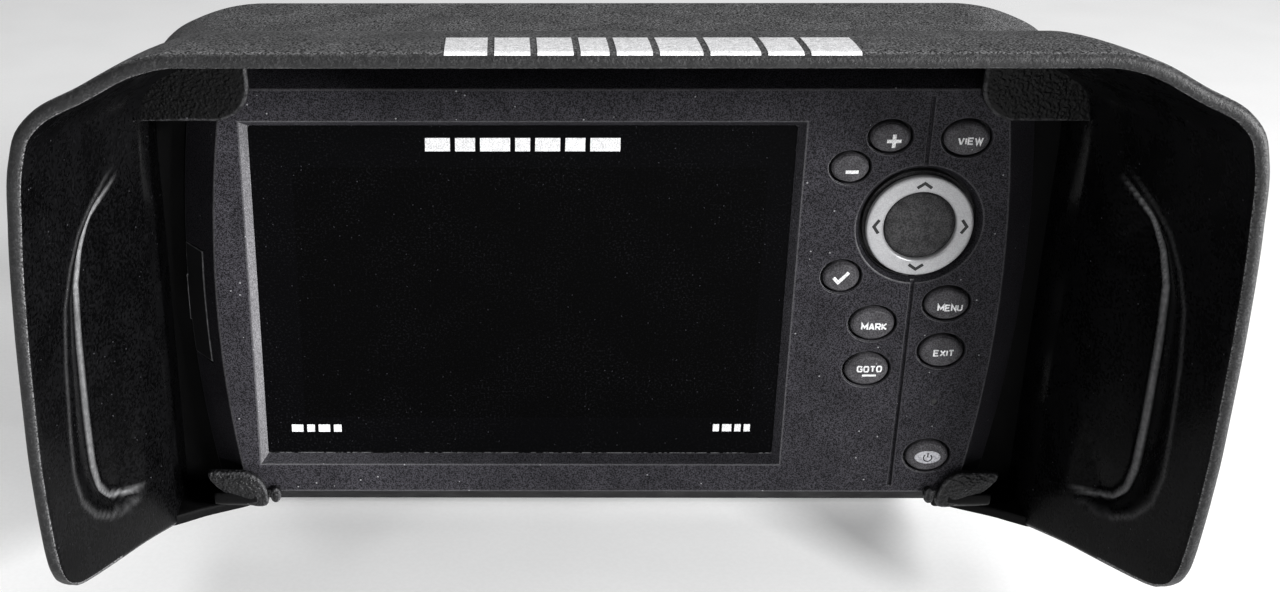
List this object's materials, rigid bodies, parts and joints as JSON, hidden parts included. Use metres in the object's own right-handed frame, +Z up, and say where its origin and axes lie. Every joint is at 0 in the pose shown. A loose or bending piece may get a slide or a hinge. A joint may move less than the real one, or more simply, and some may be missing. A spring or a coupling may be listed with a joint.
{
  "type": "chartplotter display",
  "caption": "Marine chartplotter display with a keypad and cursor pad, in a clip-on sun visor on a tilting gimbal bracket.",
  "frame": {"origin": "centre of the bracket's four screw holes, on the mounting surface", "axes": "+X to the right as the viewer sees the screen, +Y away from the viewer, +Z up"},
  "size_m": [0.2438, 0.1674, 0.1622],
  "materials": {
    "bezel_plastic": "fine grained moulded plastic, satin",
    "cover_glass": "glossy black cover glass",
    "screen": "dark liquid crystal panel",
    "pressed_steel": "pressed sheet steel",
    "keypad_rubber": "matt silicone rubber",
    "circuit_board": "green circuit board",
    "button_rubber": "fine grained rubber keys",
    "lens_plastic": "translucent grey lens",
    "silver_ring": "satin silver plated plastic",
    "pad_plastic": "dark grained plastic",
    "seal_rubber": "matt black rubber",
    "housing_plastic": "textured black plastic",
    "stainless": "stainless steel",
    "ceramic": "pale ceramic",
    "flex_cable": "amber flexible cable",
    "brass": "turned brass",
    "visor_plastic": "formed plastic sheet, leather grain outside, smooth inside",
    "bracket_plastic": "glass filled black plastic",
    "knob_plastic": "moulded black plastic"
  },
  "bodies": {
    "bracket": {"gimbal_bracket": "bracket_plastic"},
    "display": {"front_bezel": "bezel_plastic", "window_glass": "cover_glass", "lcd_panel": "screen", "lcd_tray": "pressed_steel", "keypad_membrane": "keypad_rubber", "keypad_board": "circuit_board", "status_lens": "lens_plastic", "keypad_screws": "stainless", "housing_gasket": "seal_rubber", "rear_housing": "housing_plastic", "housing_screws": "stainless", "main_board": "circuit_board", "board_screws": "stainless", "shield_can": "pressed_steel", "gps_antenna": "ceramic", "buzzer": "housing_plastic", "backup_battery": "pressed_steel", "screen_cable": "flex_cable", "card_socket": "pressed_steel", "power_socket": "housing_plastic", "power_contacts": "brass", "sonar_socket": "housing_plastic", "sonar_contacts": "brass", "pivot_inserts": "brass", "pivot_pads": "seal_rubber"},
    "visor": {"visor_shell": "visor_plastic"},
    "card_cover": {"card_cover": "seal_rubber"},
    "knob_left": {"knob_left": "knob_plastic", "knob_stud_left": "stainless"},
    "knob_right": {"knob_right": "knob_plastic", "knob_stud_right": "stainless"},
    "pad_rocker": {"pad_rocker": "pad_plastic"},
    "pad_plate": {"pad_ring": "silver_ring", "pad_cap": "pad_plastic"},
    "button_plus": {"button_plus": "button_rubber"},
    "button_minus": {"button_minus": "button_rubber"},
    "button_view": {"button_view": "button_rubber"},
    "button_check": {"button_check": "button_rubber"},
    "button_mark": {"button_mark": "button_rubber"},
    "button_goto": {"button_goto": "button_rubber"},
    "button_menu": {"button_menu": "button_rubber"},
    "button_exit": {"button_exit": "button_rubber"},
    "button_power": {"button_power": "button_rubber", "power_lens": "lens_plastic"}
  },
  "joints": [
    {"name": "display_tilt", "type": "hinge", "parent": "bracket", "child": "display", "pos_m": [0, -0.038, 0.082], "axis": [1, 0, 0], "range_deg": [-35, 20]},
    {"name": "knob_left_turn", "type": "hinge", "parent": "display", "child": "knob_left", "pos_m": [-0.1, -0.038, 0.082], "axis": [1, 0, 0], "continuous": true},
    {"name": "knob_right_turn", "type": "hinge", "parent": "display", "child": "knob_right", "pos_m": [0.1, -0.038, 0.082], "axis": [1, 0, 0], "continuous": true},
    {"name": "visor_slide", "type": "slide", "parent": "display", "child": "visor", "axis": [0, -1, 0], "range_m": [0, 0.035]},
    {"name": "card_cover_pull", "type": "slide", "parent": "display", "child": "card_cover", "axis": [-1, 0, 0], "range_m": [0, 0.003]},
    {"name": "pad_rock_up_down", "type": "hinge", "parent": "display", "child": "pad_rocker", "pos_m": [0.0706, -0.0681, 0.1013], "axis": [1, 0, 0], "range_deg": [-2, 2], "stiffness_Nm_per_rad": 1.5},
    {"name": "pad_rock_left_right", "type": "hinge", "parent": "pad_rocker", "child": "pad_plate", "pos_m": [0.0706, -0.07125, 0.1013], "axis": [0, 0, 1], "range_deg": [-2, 2], "stiffness_Nm_per_rad": 1.5},
    {"name": "press_plus", "type": "slide", "parent": "display", "child": "button_plus", "axis": [0, 1, 0], "range_m": [0, 0.0008], "stiffness_N_per_m": 1500, "springref_m": -0.0006},
    {"name": "press_minus", "type": "slide", "parent": "display", "child": "button_minus", "axis": [0, 1, 0], "range_m": [0, 0.0008], "stiffness_N_per_m": 1500, "springref_m": -0.0006},
    {"name": "press_view", "type": "slide", "parent": "display", "child": "button_view", "axis": [0, 1, 0], "range_m": [0, 0.0008], "stiffness_N_per_m": 1500, "springref_m": -0.0006},
    {"name": "press_check", "type": "slide", "parent": "display", "child": "button_check", "axis": [0, 1, 0], "range_m": [0, 0.0008], "stiffness_N_per_m": 1500, "springref_m": -0.0006},
    {"name": "press_mark", "type": "slide", "parent": "display", "child": "button_mark", "axis": [0, 1, 0], "range_m": [0, 0.0008], "stiffness_N_per_m": 1500, "springref_m": -0.0006},
    {"name": "press_goto", "type": "slide", "parent": "display", "child": "button_goto", "axis": [0, 1, 0], "range_m": [0, 0.0008], "stiffness_N_per_m": 1500, "springref_m": -0.0006},
    {"name": "press_menu", "type": "slide", "parent": "display", "child": "button_menu", "axis": [0, 1, 0], "range_m": [0, 0.0008], "stiffness_N_per_m": 1500, "springref_m": -0.0006},
    {"name": "press_exit", "type": "slide", "parent": "display", "child": "button_exit", "axis": [0, 1, 0], "range_m": [0, 0.0008], "stiffness_N_per_m": 1500, "springref_m": -0.0006},
    {"name": "press_power", "type": "slide", "parent": "display", "child": "button_power", "axis": [0, 1, 0], "range_m": [0, 0.0008], "stiffness_N_per_m": 1500, "springref_m": -0.0006}
  ]
}
